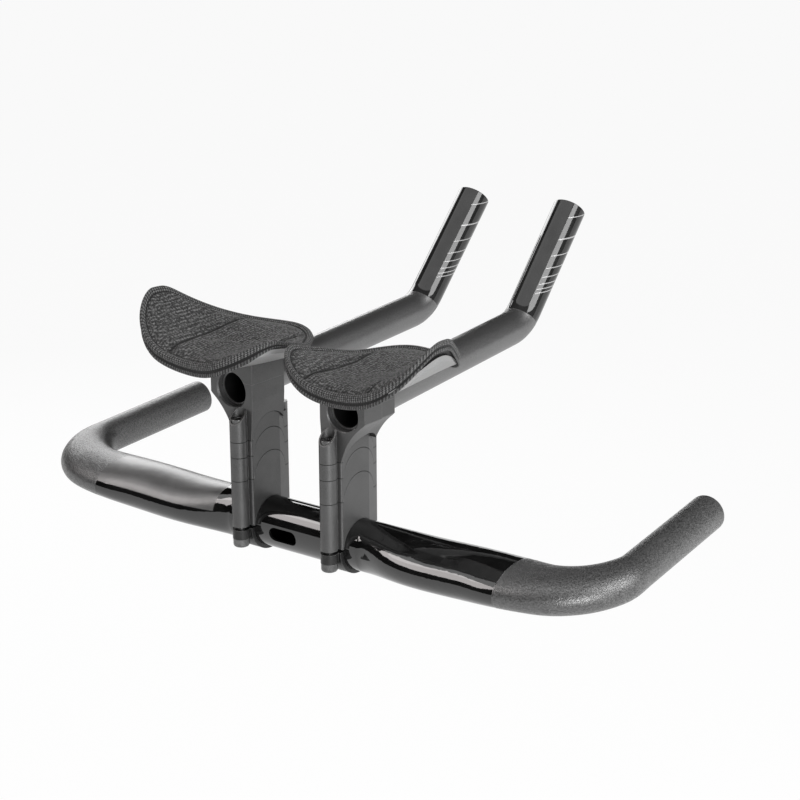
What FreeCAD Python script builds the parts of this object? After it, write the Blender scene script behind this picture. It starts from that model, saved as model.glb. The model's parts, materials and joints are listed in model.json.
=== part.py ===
import FreeCAD, Part
import math
import os

from FreeCAD import Matrix, Placement, Rotation, Vector

# Time trial handlebar: a one-piece base bar with two forward horns, and on each side a stack
# of risers that carries a clamp head, an aero extension and a padded forearm rest.
# X points to the rider's right, Y forwards and Z up. The origin is the middle of the base bar,
# on the axis of the round zone that a stem clamps.

# Base bar, a hollow moulding
bar_diameter = 31.8          # round middle
bar_wall = 2.0               # the horns' bores take the plugs of brake levers
round_half_length = 50.0     # half the length of the round middle
wing_run = 45.0              # from the round middle to the straight wing
wing_setback = 2.4           # the straight wing's start, behind the bar's axis
wing_rise = 0.8
wing_chord = 46.0            # front to back
wing_height = 27.2
corner_half_span = 211.7     # where the axes of wing and horn would cross
corner_setback = 5.7
corner_rise = 6.2
horn_tip_half_span = 206.7
horn_tip_reach = 129.7       # in front of the bar's axis
horn_tip_rise = 17.2
bend_radius = 41.0
elbow_chord = 45.0           # section where the bend begins, front to back
elbow_height = 24.2
mid_bend_chord = 35.6
mid_bend_height = 24.4
horn_diameter = 23.0
horn_edge_radius = 0.8

# How the round middle turns into the wing: distance from its end, and share of the wing's form
wing_blend = ((5.0, 0.0), (10.0, 0.15), (22.0, 0.58), (40.0, 0.94), (80.0, 1.0))

# Cable slot in the back of the round middle
slot_length = 21.5
slot_height = 9.0
slot_offset = -6.5           # along X, from the middle
slot_drop = 1.8              # below the bar's axis

# Riser stack
riser_spacing = 70.0         # between the two stacks
riser_width = 14.0
riser_back_wall = 1.6        # body, behind the bar
riser_flank_end = 9.0        # in front of the bar's axis, where the flanks taper to the nose
riser_corner = 1.2
riser_foot = 1.3             # height of the split face above the saddle's axis
saddle_clearance = 0.05
spacer_heights = {"tall_spacer": 30.0, "middle_spacer": 15.0, "short_spacer": 10.0}
rear_bolt_margin = 5.5       # bolt axes, behind and in front of the bar
front_bolt_margin = 3.3
rear_boss_diameter = 10.6
front_boss_diameter = 8.0

# Lower clamp and its fastenings
strap_width = 12.0
strap_thickness = 2.5
clamp_gap = 1.9              # between the strap and the riser's foot
clamp_boss_height = 6.2
nut_height = 5.4
nut_edge_radius = 1.8
nut_end = 1.2                # closed end under the thread
nut_margin = 0.2             # the nut is this much smaller than its boss, all round
bolt_diameter = 5.0
bolt_clearance = 0.4         # on the diameter, in the through holes
thread_clearance = 0.1       # on the diameter, in the tapped holes
bolt_head_diameter = 8.0
bolt_head_height = 5.0
hex_key = 4.0
hex_depth = 2.6
counterbore_clearance = 0.6
key_room = 6.0               # height of the counterbores above the bolts' heads
bolt_tip_gap = 1.0           # between a bolt's tip and the bottom of its hole

# Clamp head
head_front_setback = 3.4     # front face, behind the front of the bar
head_edge = 2.85             # from the cup bolts' axes to the head's side faces
head_collar_length = 16.5    # rear stretch that stands proud
head_step = 0.9
head_lip_drop = 5.3          # top of the swept flank, below the extension's axis
head_lip_height = 1.6
flank_sweep = 0.085          # hollow of the flank, as a share of its length
split_rise = 5.4             # face between the head and its cap, above the extension's axis
boss_rise = 16.2             # slanted end of the rear boss, above the head's foot
boss_slant = 45.0            # degrees
rear_seat_rise = 9.2         # under the heads of the riser bolts, above the head's foot
front_seat_rise = 10.7
bore_clearance = 0.1         # on the diameter
bore_chamfer = 0.6

# Extension
extension_diameter = 22.2
extension_wall = 1.3
extension_offset = 8.1       # axis, outboard of the riser's middle, at the head's rear face
extension_rise = 30.3        # axis, above the head's foot, at the head's rear face
extension_recess = 4.0       # the tube stops short of the head's rear face
extension_toe_in = 0.9       # degrees
extension_pitch = 4.0        # degrees
extension_run = 191.0        # from the head's rear face to the corner of the bend
extension_bend = 43.0        # degrees
extension_bend_radius = 30.0
extension_upturn = 92.0      # from the corner of the bend to the tip
extension_edge_radius = 0.4

# Forearm rest: a tray on the clamp cap and a pad on the tray
cap_crown = 2.0              # cap between the extension and the tray
pad_thickness = 5.5
patch_thickness = 0.8        # hook-and-loop discs between the pad and the tray
patch_clearance = 0.06
patch_diameter = 26.0
cup_wall = 2.2
cup_seat_clearance = 0.05
skirt_drop = 6.5             # the pad's rim reaches below its floor, round the tray
outer_skirt_drop = 3.9       # and at the raised outside
skirt_thickness = 2.2
skirt_clearance = 0.4
cup_bolt_diameter = 4.0
cup_bolt_margin = 2.8        # axes, on either side of the extension
cup_bolt_position = -3.0     # along Y
cup_bolt_head_diameter = 7.0
cup_bolt_head_height = 2.0
cup_bolt_key = 2.5
cup_bolt_engagement = 8.5    # thread in the head
cup_bolt_seat = 1.0          # tray left under the bolts' heads
bolt_relief = 0.4            # hollow in the pad above the bolts' heads

# The pad's top along three cross-sections: Y, then inner edge, floor and outer edge. Those are
# pairs of a distance outboard of the extension's axis and a height above the trough's level.
pad_sections = (
    (-46.0, (-41.0, 32.8), (13.0, 1.6), (69.0, 29.3)),
    (-8.0, (-37.0, 15.8), (15.0, 1.0), (67.0, 36.2)),
    (56.0, (-35.0, 10.1), (14.0, 10.4), (65.0, 7.3)),
)
# The pad's outline from above: distance outboard of the extension's axis, and Y
pad_outline = (
    (-33.5, -30.6), (-21.3, -40.0), (16.9, -40.0), (54.9, -39.0), (67.3, -21.7),
    (61.1, 12.3), (44.1, 37.8), (18.9, 49.5), (-10.1, 47.5), (-26.1, 28.0),
)
patch_places = ((4.9, -20.0), (18.9, 28.0))

far = 400.0                  # longer than any cut needs
overcut = 1.0                # how far a cutter reaches past the face it opens
near = 0.01                  # lengths closer than this count as equal
seam = 0.002                 # edges closer than this become one when faces are sewn
bend_steps = 6               # sections along each bend of the bar

bar_radius = bar_diameter / 2
wing_start = round_half_length + wing_run
riser_x = riser_spacing / 2
riser_back = bar_radius + riser_back_wall
rear_bolt_reach = bar_radius + rear_bolt_margin
front_bolt_reach = bar_radius + front_bolt_margin
head_level = sum(spacer_heights.values())
head_foot = head_level + riser_foot
rear_seat = head_foot + rear_seat_rise
front_seat = head_foot + front_seat_rise
boss_top = head_foot + boss_rise
head_front = bar_radius - head_front_setback
extension_radius = extension_diameter / 2
extension_x = riser_x + extension_offset
extension_height = head_foot + extension_rise
head_split = extension_height + split_rise
cup_bolt_offset = extension_radius + cup_bolt_margin
head_half_width = cup_bolt_offset + head_edge
cup_top_depth = pad_thickness + patch_thickness
cup_bottom_depth = cup_top_depth + cup_wall
pad_level = extension_height + extension_radius + cap_crown + cup_bottom_depth
axis_x = Vector(1, 0, 0)
axis_y = Vector(0, 1, 0)
axis_z = Vector(0, 0, 1)


def degrees_sin(angle):
    return math.sin(math.radians(angle))


def degrees_cos(angle):
    return math.cos(math.radians(angle))


def degrees_tan(angle):
    return math.tan(math.radians(angle))


def rod(diameter, length, base, direction):
    return Part.makeCylinder(diameter / 2, length, base, direction)


def box_between(low, high):
    return Part.makeBox(high[0] - low[0], high[1] - low[1], high[2] - low[2], Vector(*low))


def join(first, *others):
    return first.multiFuse(list(others)).removeSplitter()


def mirrored(shape):
    return shape.mirror(Vector(0, 0, 0), axis_x)


# The base bar

bar_corner = Vector(corner_half_span, -corner_setback, corner_rise)
horn_tip = Vector(horn_tip_half_span, horn_tip_reach, horn_tip_rise)
wing_origin = Vector(wing_start, -wing_setback, wing_rise)
wing_axis = (bar_corner - wing_origin).normalize()
horn_axis = (horn_tip - bar_corner).normalize()
bend_turn = math.degrees(wing_axis.getAngle(horn_axis))
bend_tangent = bend_radius * degrees_tan(bend_turn / 2)
bend_start = bar_corner - wing_axis * bend_tangent
horn_start = bar_corner + horn_axis * (bend_tangent + bar_wall)
bend_inward = (horn_axis - wing_axis * horn_axis.dot(wing_axis)).normalize()


def wing_centre(x):
    """Middle of the bar's section at a distance from the middle plane."""
    if x > wing_start:
        return wing_origin + wing_axis * ((x - wing_start) / wing_axis.x)
    share = (x - round_half_length) / (wing_start - round_half_length)
    ease = share * share * (3 - 2 * share)
    return Vector(x, -wing_setback * ease, wing_rise * ease)


def oval(centre, side, normal, chord, height):
    """Closed oval wire round a centre, with its chord along side."""
    rise = normal.cross(side)
    scale = Matrix(
        side.x * chord / 2, rise.x * height / 2, normal.x, centre.x,
        side.y * chord / 2, rise.y * height / 2, normal.y, centre.y,
        side.z * chord / 2, rise.z * height / 2, normal.z, centre.z,
        0, 0, 0, 1,
    )
    unit_circle = Part.Wire(Part.makeCircle(1.0))
    return unit_circle.transformGeometry(scale)


def bar_arm(wall):
    """Skin of the right arm from the round middle to the straight horn, set in by a wall."""
    sections = []

    def add(centre, turn, chord, height):
        normal = wing_axis * degrees_cos(turn) + bend_inward * degrees_sin(turn)
        side = bend_inward * degrees_cos(turn) - wing_axis * degrees_sin(turn)
        sections.append(oval(centre, side, normal, chord - 2 * wall, height - 2 * wall))

    inner_size = bar_diameter - 2 * wall
    sections.append(oval(Vector(round_half_length, 0, 0), axis_y, axis_x, inner_size, inner_size))
    for distance, share in wing_blend:
        chord = bar_diameter + (wing_chord - bar_diameter) * share
        height = bar_diameter + (wing_height - bar_diameter) * share
        add(wing_centre(round_half_length + distance), 0, chord, height)
    for step in range(bend_steps + 1):
        share = step / bend_steps
        turn = bend_turn * share
        centre = bend_start + wing_axis * (bend_radius * degrees_sin(turn))
        centre = centre + bend_inward * (bend_radius * (1 - degrees_cos(turn)))
        chord = through_three(elbow_chord, mid_bend_chord, horn_diameter, share)
        height = through_three(elbow_height, mid_bend_height, horn_diameter, share)
        add(centre, turn, chord, height)
    add(horn_start, bend_turn, horn_diameter, horn_diameter)
    return Part.makeLoft(sections, False, False)


def through_three(first, middle, last, share):
    """Value between a first and a last one, passing a middle one half way."""
    bow = middle - (first + last) / 2
    return first + (last - first) * share + bow * 4 * share * (1 - share)


def rounds_of(shape):
    return [face for face in shape.Faces if isinstance(face.Surface, Part.Cylinder)]


def bar_body(wall, tip_extra):
    """Solid of the whole bar, set in by a wall: its skin, sewn from the middle to the tips."""
    arm = bar_arm(wall)
    horn_length = (horn_tip - horn_start).Length + tip_extra
    horn = rod(horn_diameter - 2 * wall, horn_length, horn_start, horn_axis)
    tip_centre = horn_start + horn_axis * horn_length
    tip_side = axis_z.cross(horn_axis).normalize()
    tip_size = horn_diameter - 2 * wall
    tip = Part.Face(oval(tip_centre, tip_side, horn_axis, tip_size, tip_size))
    side = arm.Faces + rounds_of(horn) + [tip]
    middle = rod(bar_diameter - 2 * wall, 2 * round_half_length, Vector(-round_half_length, 0, 0), axis_x)
    skin = Part.makeShell(rounds_of(middle) + side + [mirrored(face) for face in side])
    skin.sewShape(seam)
    return Part.makeSolid(skin)


def obround(length, height, depth, centre):
    """Slot cutter that runs along Y from a centre, its length along X."""
    half = (length - height) / 2
    left = rod(height, depth, centre - axis_x * half, axis_y)
    right = rod(height, depth, centre + axis_x * half, axis_y)
    low = centre - axis_x * half - axis_z * (height / 2)
    high = centre + axis_x * half + axis_z * (height / 2) + axis_y * depth
    return join(left, right, box_between(low, high))


def is_horn_rim(edge):
    """A round edge at the tip of either horn."""
    if not hasattr(edge.Curve, "Center"):
        return False
    centre = edge.Curve.Center
    return (Vector(abs(centre.x), centre.y, centre.z) - horn_tip).Length < horn_edge_radius


def make_base_bar():
    outside = bar_body(0, 0)
    rims = [edge for edge in outside.Edges if is_horn_rim(edge)]
    outside = outside.makeFillet(horn_edge_radius, rims)
    inside = bar_body(bar_wall, bar_wall)
    slot_centre = Vector(slot_offset, -bar_diameter, -slot_drop)
    slot = obround(slot_length, slot_height, bar_diameter, slot_centre)
    return outside.cut(inside.fuse(slot))


# The riser stack, for the right side

def tangent_point(outside_point, centre, radius, side):
    """Where the line from a point touches a circle, on the left (1) or the right (-1)."""
    away = outside_point - centre
    spread = math.acos(radius / away.Length)
    heading = math.atan2(away.y, away.x) + side * spread
    return centre + Vector(math.cos(heading), math.sin(heading), 0) * radius


def riser_prism(low, high):
    """Plan of a riser, with its bolt bosses, between two heights."""
    half = riser_width / 2
    nose_centre = Vector(riser_x, front_bolt_reach, low)
    nose_radius = front_boss_diameter / 2
    right_rear = Vector(riser_x + half, -riser_back, low)
    left_rear = Vector(riser_x - half, -riser_back, low)
    right_front = Vector(riser_x + half, riser_flank_end, low)
    left_front = Vector(riser_x - half, riser_flank_end, low)
    right_touch = tangent_point(right_front, nose_centre, nose_radius, 1)
    left_touch = tangent_point(left_front, nose_centre, nose_radius, -1)
    nose_tip = nose_centre + axis_y * nose_radius
    outline = Part.Wire([
        Part.makeLine(left_rear, right_rear),
        Part.makeLine(right_rear, right_front),
        Part.makeLine(right_front, right_touch),
        Part.Arc(right_touch, nose_tip, left_touch).toShape(),
        Part.makeLine(left_touch, left_front),
        Part.makeLine(left_front, left_rear),
    ])
    body = Part.Face(outline).extrude(axis_z * (high - low))
    upright = [edge for edge in body.Edges if edge.BoundBox.ZLength > edge.BoundBox.XLength]
    corners = [edge for edge in upright if edge.BoundBox.YMax < riser_corner - riser_back]
    body = body.makeFillet(riser_corner, corners)
    boss = rod(rear_boss_diameter, high - low, Vector(riser_x, -rear_bolt_reach, low), axis_z)
    return join(body, boss)


def bolt_shafts(diameter, low, high):
    """Rods on the axes of the two riser bolts."""
    rear = rod(diameter, high - low, Vector(riser_x, -rear_bolt_reach, low), axis_z)
    front = rod(diameter, high - low, Vector(riser_x, front_bolt_reach, low), axis_z)
    return rear.fuse(front)


def stack_below(level, radius):
    """All that lies under a split: a flat foot with a half-round hump along X."""
    floor = box_between((-far, -far, -far), (far, far, level + riser_foot))
    hump = rod(2 * radius, 2 * far, Vector(-far, 0, level), axis_x)
    return floor.fuse(hump)


def make_spacer(level, height):
    blank = riser_prism(level, level + height + bar_diameter)
    spacer = blank.common(stack_below(level + height, bar_radius))
    spacer = spacer.cut(stack_below(level, bar_radius + saddle_clearance))
    return spacer.cut(bolt_shafts(bolt_diameter + bolt_clearance, level - far, level + far))


def make_lower_clamp():
    top = riser_foot - clamp_gap
    strap_start = Vector(riser_x - strap_width / 2, 0, 0)
    strap = rod(bar_diameter + 2 * strap_thickness, strap_width, strap_start, axis_x)
    strap = strap.cut(box_between((-far, -far, top), (far, far, far)))
    boss_low = top - clamp_boss_height
    rear_base = Vector(riser_x, -rear_bolt_reach, boss_low)
    front_base = Vector(riser_x, front_bolt_reach, boss_low)
    rear_boss = rod(rear_boss_diameter, clamp_boss_height, rear_base, axis_z)
    front_boss = rod(front_boss_diameter, clamp_boss_height, front_base, axis_z)
    clamp = join(strap, rear_boss, front_boss)
    bar_room = rod(bar_diameter + 2 * saddle_clearance, 2 * far, Vector(-far, 0, 0), axis_x)
    holes = bolt_shafts(bolt_diameter + bolt_clearance, -far, far)
    rear_face = rod(rear_boss_diameter, far, rear_base, -axis_z)
    front_face = rod(front_boss_diameter, far, front_base, -axis_z)
    return clamp.cut(bar_room).cut(holes).cut(rear_face).cut(front_face)


nut_top = riser_foot - clamp_gap - clamp_boss_height
nut_low = nut_top - nut_height
nut_floor = nut_low + nut_end


def make_clamp_nuts():
    nuts = []
    places = ((-rear_bolt_reach, rear_boss_diameter), (front_bolt_reach, front_boss_diameter))
    for reach, boss in places:
        nut = rod(boss - 2 * nut_margin, nut_height, Vector(riser_x, reach, nut_low), axis_z)
        low_edges = [edge for edge in nut.Edges if edge.BoundBox.ZMax < nut_low + near]
        nut = nut.makeFillet(nut_edge_radius, low_edges)
        thread = rod(bolt_diameter + thread_clearance, nut_height, Vector(riser_x, reach, nut_floor), axis_z)
        nuts.append(nut.cut(thread))
    return Part.makeCompound(nuts)


def hex_socket(key, depth, top):
    """Cutter for a hexagon socket that opens upwards at a point."""
    radius = key / math.sqrt(3)
    corners = []
    for step in range(7):
        angle = math.radians(60 * step)
        corners.append(top + Vector(radius * math.cos(angle), radius * math.sin(angle), 0))
    return Part.Face(Part.makePolygon(corners)).extrude(axis_z * -depth)


def cap_screw(place, seat, tip, shank, head, head_height, key, depth):
    """Socket screw that points down, with its head's underside at seat."""
    body = rod(shank, seat - tip, Vector(place[0], place[1], tip), axis_z)
    cap = rod(head, head_height, Vector(place[0], place[1], seat), axis_z)
    socket = hex_socket(key, depth, Vector(place[0], place[1], seat + head_height))
    return join(body, cap).cut(socket)


def make_riser_bolts():
    tip = nut_floor + bolt_tip_gap
    bolts = []
    for reach, seat in ((-rear_bolt_reach, rear_seat), (front_bolt_reach, front_seat)):
        bolts.append(cap_screw((riser_x, reach), seat, tip, bolt_diameter, bolt_head_diameter,
                               bolt_head_height, hex_key, hex_depth))
    return Part.makeCompound(bolts)


# The clamp head, its cap and the extension, for the right side

extension_origin = Vector(extension_x, -riser_back, extension_height)
extension_turn = Rotation(axis_z, extension_toe_in) * Rotation(axis_x, extension_pitch)
extension_axis = extension_turn.multVec(axis_y)


def head_section(inset, rear, front, top):
    """Front view of the head, from its foot to a top, extruded between two places along Y."""
    outer = extension_x + head_half_width - inset
    inboard = extension_x - head_half_width
    lip_height = extension_height - head_lip_drop
    root = Vector(riser_x + riser_width / 2, rear, head_foot)
    lip = Vector(outer - head_lip_height, rear, lip_height)
    chord = lip - root
    sweep = (root + lip) / 2 + Vector(-chord.z, 0, chord.x) * flank_sweep
    edge = Vector(outer, rear, lip_height + head_lip_height)
    inner_root = Vector(riser_x - riser_width / 2, rear, head_foot)
    inner = Vector(inboard, rear, lip_height)
    upper_inner = Vector(inboard, rear, top)
    upper_outer = Vector(outer, rear, top)
    outline = Part.Wire([
        Part.Arc(root, sweep, lip).toShape(),
        Part.makeLine(lip, edge),
        Part.makeLine(edge, upper_outer),
        Part.makeLine(upper_outer, upper_inner),
        Part.makeLine(upper_inner, inner),
        Part.makeLine(inner, inner_root),
        Part.makeLine(inner_root, root),
    ])
    return Part.Face(outline).extrude(axis_y * (front - rear))


def head_block(top):
    collar_front = head_collar_length - riser_back
    collar = head_section(0, -riser_back, collar_front, top)
    front = head_section(head_step, collar_front, head_front, top)
    return join(collar, front)


def extension_bore():
    """Through bore for the extension, with a chamfer at the head's rear face."""
    size = extension_diameter + bore_clearance
    start = extension_origin - extension_axis * far / 2
    bore = rod(size, far, start, extension_axis)
    spare = bore_chamfer
    cone = Part.makeCone(size / 2 + bore_chamfer + spare, size / 2 - spare, bore_chamfer + 2 * spare,
                         extension_origin - extension_axis * spare, extension_axis)
    return join(bore, cone)


def cup_bolt_places():
    middle = extension_x - (cup_bolt_position + riser_back) * degrees_tan(extension_toe_in)
    return ((middle - cup_bolt_offset, cup_bolt_position), (middle + cup_bolt_offset, cup_bolt_position))


def cup_bolt_shafts(diameter):
    rods = []
    for x, y in cup_bolt_places():
        rods.append(rod(diameter, far, Vector(x, y, head_split - cup_bolt_engagement), axis_z))
    return rods[0].fuse(rods[1])


def make_clamp_head():
    neck = head_block(head_split)
    behind = box_between((0, -far, 0), (far, 0, far))
    foot = riser_prism(head_level, front_seat).cut(behind)
    rear_foot = riser_prism(head_level, rear_seat).common(behind)
    boss_base = Vector(riser_x, -rear_bolt_reach, head_level)
    boss = rod(rear_boss_diameter, boss_top + rear_boss_diameter - head_level, boss_base, axis_z)
    slant = box_between((-far, -far, 0), (far, far, far))
    slant.Placement = Placement(Vector(riser_x, -rear_bolt_reach, boss_top), Rotation(axis_x, boss_slant))
    head = join(neck, foot, rear_foot, boss.cut(slant))
    head = head.cut(stack_below(head_level, bar_radius + saddle_clearance))
    head = head.cut(extension_bore())
    above_rear_seat = box_between((0, -far, rear_seat + overcut), (far, 0, far))
    holes = bolt_shafts(bolt_diameter + bolt_clearance, 0, front_seat + overcut)
    head = head.cut(holes.cut(above_rear_seat))
    pocket = bolt_head_diameter + counterbore_clearance
    pocket_height = bolt_head_height + key_room
    rear_pocket = rod(pocket, pocket_height, Vector(riser_x, -rear_bolt_reach, rear_seat), axis_z)
    front_pocket = rod(pocket, pocket_height, Vector(riser_x, front_bolt_reach, front_seat), axis_z)
    head = head.cut(rear_pocket).cut(front_pocket)
    return head.cut(cup_bolt_shafts(cup_bolt_diameter + thread_clearance))


def make_clamp_cap():
    top = pad_level + extension_diameter
    above_split = box_between((0, -far, head_split), (far, far, far))
    cap = head_block(top).common(above_split)
    cap = cap.cut(extension_bore())
    seat_depth = cup_bottom_depth + cup_seat_clearance
    cap = cap.cut(slab(trough_arcs(seat_depth), trough_arcs(seat_depth, far / 4)))
    return cap.cut(cup_bolt_shafts(cup_bolt_diameter + bolt_clearance))


def bent_tube(diameter, start, tip_extra):
    """Extension in its own frame: along Y, then up round the bend."""
    run_end = extension_run - extension_bend_radius * degrees_tan(extension_bend / 2)
    rise_length = extension_upturn - extension_bend_radius * degrees_tan(extension_bend / 2)
    straight = rod(diameter, run_end - start, Vector(0, start, 0), axis_y)
    ring = Part.Face(Part.Wire(Part.makeCircle(diameter / 2, Vector(0, run_end, 0), axis_y)))
    bend_centre = Vector(0, run_end, extension_bend_radius)
    bend = ring.revolve(bend_centre, axis_x, extension_bend)
    up = Vector(0, degrees_cos(extension_bend), degrees_sin(extension_bend))
    bend_exit = bend_centre + Vector(0, up.z, -up.y) * extension_bend_radius
    upturn = rod(diameter, rise_length + tip_extra, bend_exit, up)
    return join(straight, bend, upturn)


def make_extension():
    outside = bent_tube(extension_diameter, extension_recess, 0)
    bore = extension_diameter - 2 * extension_wall
    inside = bent_tube(bore, extension_recess - overcut, overcut)
    tube = outside.cut(inside)
    rims = [edge for edge in tube.Edges if is_end_rim(edge)]
    tube = tube.makeFillet(extension_edge_radius, rims)
    tube.Placement = Placement(extension_origin, extension_turn)
    return tube


def is_end_rim(edge):
    """A round edge at the extension's rear end or tip, on the outside."""
    if not hasattr(edge.Curve, "Radius"):
        return False
    if abs(edge.Curve.Radius - extension_radius) > near:
        return False
    box = edge.BoundBox
    tip_reach = extension_run + extension_upturn * degrees_cos(extension_bend)
    at_rear = box.YMax < extension_recess + near
    at_tip = box.YMin > tip_reach - extension_diameter and box.ZMax > extension_radius
    return at_rear or at_tip


# The forearm rest, for the right side

def across(section, drops):
    """Arc through the three points of a cross-section, each lowered by its own drop."""
    y = section[0]
    points = []
    for (out, rise), drop in zip(section[1:], drops):
        points.append(Vector(extension_x + out, y, pad_level + rise - drop))
    return Part.Arc(*points).toShape()


def trough_arcs(depth, lift=0.0):
    """Arcs across the trough at an even depth under the pad's top, then lifted as a whole."""
    arcs = []
    for section in pad_sections:
        top = across(section, (0, 0, 0))
        circle = top.Curve
        hollow = circle.Center.z > pad_level + section[2][1]
        circle.Radius = circle.Radius + (depth if hollow else -depth)
        arc = Part.ArcOfCircle(circle, top.FirstParameter, top.LastParameter).toShape()
        arcs.append(arc.translated(axis_z * lift))
    return arcs


def rim_arcs():
    """Arcs across the trough along the lower edge of the pad's rim."""
    drop = pad_thickness + skirt_drop
    outer_drop = pad_thickness + outer_skirt_drop
    return [across(section, (drop, drop, outer_drop)) for section in pad_sections]


def slab(low_arcs, high_arcs):
    """Curved slab between two sets of arcs across the trough."""
    wires = []
    for low, high in zip(low_arcs, high_arcs):
        low_ends = [vertex.Point for vertex in low.Vertexes]
        high_ends = [vertex.Point for vertex in high.Vertexes]
        wires.append(Part.Wire([
            low,
            Part.makeLine(low_ends[1], high_ends[1]),
            high,
            Part.makeLine(high_ends[0], low_ends[0]),
        ]))
    return Part.makeLoft(wires, True, False)


def cup_slab():
    return slab(trough_arcs(cup_bottom_depth), trough_arcs(cup_top_depth))


def outline_prism(inset):
    """Upright prism of the pad's outline, set in evenly towards its middle."""
    corners = [Vector(extension_x + out, y, 0) for out, y in pad_outline]
    middle = sum(corners, Vector(0, 0, 0)) / len(corners)
    points = []
    for corner in corners:
        away = corner - middle
        points.append(middle + away * (1 - inset / away.Length))
    curve = Part.BSplineCurve()
    curve.interpolate(points, PeriodicFlag=True)
    return Part.Face(Part.Wire(curve.toShape())).extrude(axis_z * far)


def make_arm_pad():
    pad = slab(rim_arcs(), trough_arcs(0)).common(outline_prism(0))
    tray_room = slab(trough_arcs(pad_thickness, -far / 4), trough_arcs(pad_thickness))
    pad = pad.cut(tray_room.common(outline_prism(skirt_thickness)))
    for x, y in cup_bolt_places():
        relief_top = cup_floor_height(x, y) + cup_bolt_seat + cup_bolt_head_height + bolt_relief
        relief = rod(cup_bolt_head_diameter + counterbore_clearance, relief_top, Vector(x, y, 0), axis_z)
        pad = pad.cut(relief)
    return pad


def make_arm_cup():
    cup = cup_slab().common(outline_prism(skirt_thickness + skirt_clearance))
    for x, y in cup_bolt_places():
        seat = cup_floor_height(x, y) + cup_bolt_seat
        cup = cup.cut(rod(cup_bolt_diameter + bolt_clearance, far, Vector(x, y, 0), axis_z))
        pocket = cup_bolt_head_diameter + counterbore_clearance
        cup = cup.cut(rod(pocket, far, Vector(x, y, seat), axis_z))
    return cup


def cup_floor_height(x, y):
    """Height of the tray's underside over a point of the plan."""
    probe = Part.makeLine(Vector(x, y, 0), Vector(x, y, far))
    inside = probe.common(cup_slab())
    return inside.BoundBox.ZMin


def make_cup_bolts():
    bolts = []
    tip = head_split - cup_bolt_engagement + bolt_tip_gap
    for place in cup_bolt_places():
        seat = cup_floor_height(*place) + cup_bolt_seat
        bolts.append(cap_screw(place, seat, tip, cup_bolt_diameter, cup_bolt_head_diameter,
                               cup_bolt_head_height, cup_bolt_key, cup_bolt_head_height / 2))
    return Part.makeCompound(bolts)


def make_pad_patches():
    low = trough_arcs(cup_top_depth - patch_clearance)
    layer = slab(low, trough_arcs(pad_thickness + patch_clearance))
    discs = []
    for out, y in patch_places:
        discs.append(rod(patch_diameter, far, Vector(extension_x + out, y, 0), axis_z).common(layer))
    return Part.makeCompound(discs)


def make_side():
    """The pieces of the right side, by name."""
    pieces = {
        "lower_clamp": make_lower_clamp(),
        "clamp_nuts": make_clamp_nuts(),
        "riser_bolts": make_riser_bolts(),
        "clamp_head": make_clamp_head(),
        "clamp_cap": make_clamp_cap(),
        "extension": make_extension(),
        "arm_cup": make_arm_cup(),
        "cup_bolts": make_cup_bolts(),
        "pad_patches": make_pad_patches(),
        "arm_pad": make_arm_pad(),
    }
    level = 0.0
    for name, height in spacer_heights.items():
        pieces[name] = make_spacer(level, height)
        level = level + height
    return pieces


def main():
    os.makedirs("parts", exist_ok=True)
    make_base_bar().exportStep("parts/base_bar.step")
    for name, shape in make_side().items():
        shape.exportStep("parts/right_%s.step" % name)
        mirrored(shape).exportStep("parts/left_%s.step" % name)


main()
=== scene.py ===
import json
import math

import bmesh
import bpy
from mathutils import Matrix, Vector
from mathutils.bvhtree import BVHTree


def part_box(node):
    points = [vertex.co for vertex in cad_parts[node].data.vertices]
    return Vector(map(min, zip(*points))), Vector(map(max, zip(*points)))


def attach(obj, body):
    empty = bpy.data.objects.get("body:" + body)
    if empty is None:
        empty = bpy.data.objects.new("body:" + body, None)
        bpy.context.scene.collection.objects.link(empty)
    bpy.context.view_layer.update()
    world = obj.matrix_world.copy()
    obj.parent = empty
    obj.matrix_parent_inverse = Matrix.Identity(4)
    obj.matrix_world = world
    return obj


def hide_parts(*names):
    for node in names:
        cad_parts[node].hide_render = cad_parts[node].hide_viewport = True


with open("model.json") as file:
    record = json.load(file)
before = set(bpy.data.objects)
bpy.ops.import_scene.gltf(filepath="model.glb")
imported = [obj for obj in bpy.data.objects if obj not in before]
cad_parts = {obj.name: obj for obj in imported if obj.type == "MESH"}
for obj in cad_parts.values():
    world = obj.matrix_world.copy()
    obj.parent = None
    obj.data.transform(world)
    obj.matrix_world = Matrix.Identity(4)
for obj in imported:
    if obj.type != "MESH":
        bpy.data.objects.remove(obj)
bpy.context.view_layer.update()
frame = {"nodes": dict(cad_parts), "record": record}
nodes = frame["nodes"]
scene = bpy.context.scene
MM = 0.001

# Where the finishes change, in metres
grit_start = 156.0 * MM          # along X, from the bar's middle
field_inner = -62.0 * MM         # satin field on the top of the left wing
field_low = 1.3 * MM             # its lower edge, which climbs outwards with the wing
field_climb = 0.037
riser_foot = 1.3 * MM            # split faces of the riser stack, as in the CAD
riser_saddle = 15.95 * MM
riser_levels = (30.0 * MM, 45.0 * MM, 55.0 * MM)
extension_radius = 11.1 * MM
tube_bore = 9.8 * MM             # inside radius of the extensions
bore_radius = 11.25 * MM         # clamp bores, inside which painted shade makes them near-black
bore_start = Vector((43.1, -17.5, 86.6)) * MM          # rear end of the right clamp bore
bore_axis = Vector((-0.01567, 0.99744, 0.06976))
bore_shade_from = 4.2 * MM        # depth in a clamp bore where the painted shade begins
bore_shade_full = 5.0 * MM
gloss_length = 87.0 * MM         # glossy end of each extension, from its tip
trim_start = 4.0 * MM            # first trim line, from the tip
trim_step = 17.5 * MM
trim_ratio = 0.745               # each gap between trim lines against the one before
trim_count = 8
trim_span = 100.0 * MM           # length that the colour ramp of the trim lines covers
trim_half_width = 0.42 * MM
trim_side = Vector((0.979, 0.157, -0.131)).normalized()


# Node helpers

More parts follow.
